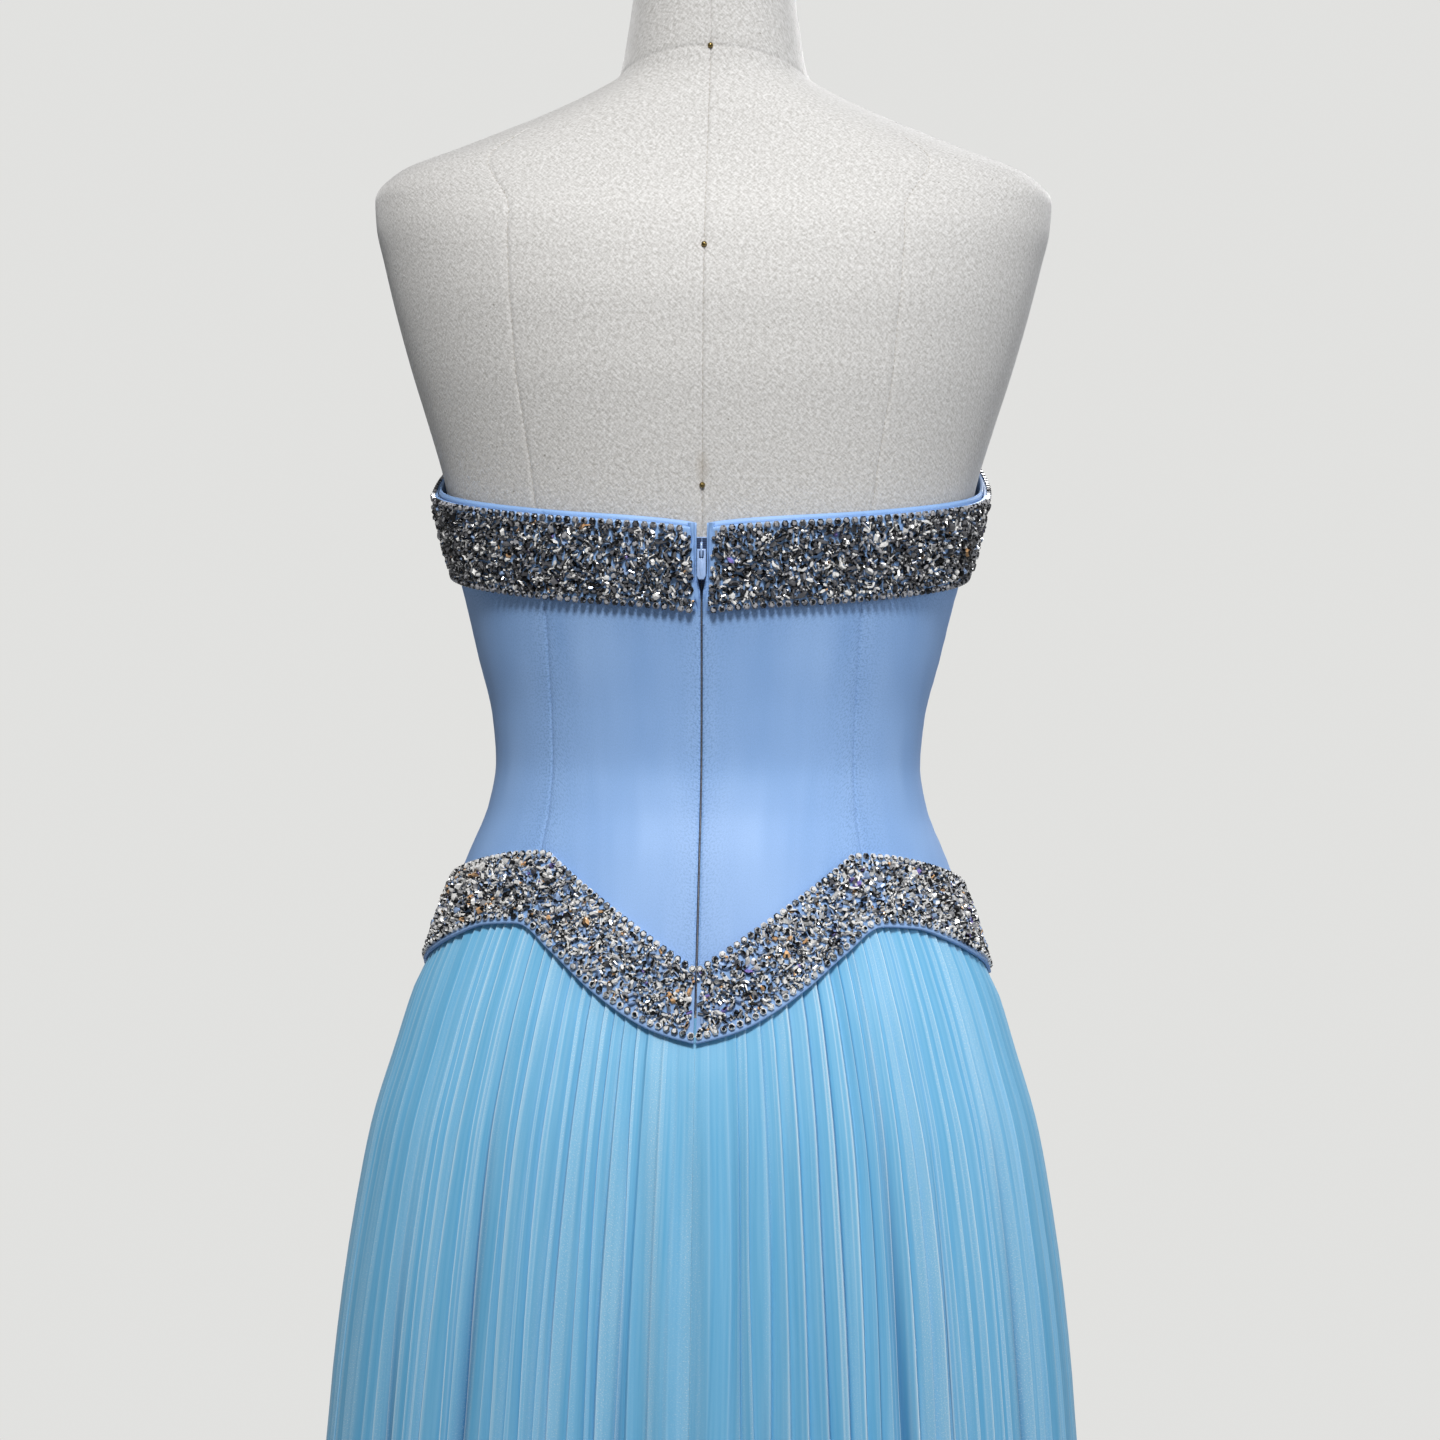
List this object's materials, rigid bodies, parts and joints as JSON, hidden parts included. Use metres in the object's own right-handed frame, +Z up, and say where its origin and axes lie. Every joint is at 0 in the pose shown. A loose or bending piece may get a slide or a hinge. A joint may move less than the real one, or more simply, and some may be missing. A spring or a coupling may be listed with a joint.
{
  "type": "a-line evening dress on a dress form",
  "caption": "Strapless a-line evening dress with a satin bodice, crystal bands and a pleated floor-length skirt, worn by a limbless canvas dress form on a pole and round base",
  "frame": {"origin": "centre of the round base's underside on the floor, which is also the bottom centre of the whole part's box", "axes": "+Z is up, -Y is the front of the dress, +Y is its centre back with the zip, and +X is the wearer's left side"},
  "size_m": [0.57, 0.5159, 1.5314],
  "materials": {
    "stand_paint": "satin off-white paint",
    "canvas": "matt natural-white canvas",
    "satin": "periwinkle-blue duchess satin with a soft sheen",
    "organza": "sky-blue shimmering organza in sharp narrow pleats",
    "crystal_beads": "faceted hematite, silver and clear stones in metal cups on satin",
    "zip_tape": "woven tape with nylon coil",
    "zip_enamel": "blue enamel"
  },
  "bodies": {
    "dress_and_form": {"stand_base": "stand_paint", "stand_pole": "stand_paint", "form_torso": "canvas", "form_neck_cap": "stand_paint", "bodice_back_left": "satin", "bodice_back_right": "satin", "bodice_side_back_left": "satin", "bodice_side_back_right": "satin", "bodice_side_front_left": "satin", "bodice_side_front_right": "satin", "bodice_front": "satin", "top_band_back_left": "crystal_beads", "top_band_back_right": "crystal_beads", "top_band_front": "crystal_beads", "hip_band_back_left": "crystal_beads", "hip_band_back_right": "crystal_beads", "hip_band_front": "crystal_beads", "skirt_back_left": "organza", "skirt_back_right": "organza", "skirt_front": "organza", "zip_chain": "zip_tape", "zip_slider": "zip_enamel"},
    "pull": {"zip_pull": "zip_enamel"}
  },
  "joints": [
    {"name": "zip_pull_hinge", "type": "hinge", "parent": "dress_and_form", "child": "pull", "pos_m": [0, 0.10276, 1.1968], "axis": [1, 0, 0], "range_deg": [0, 165]}
  ]
}
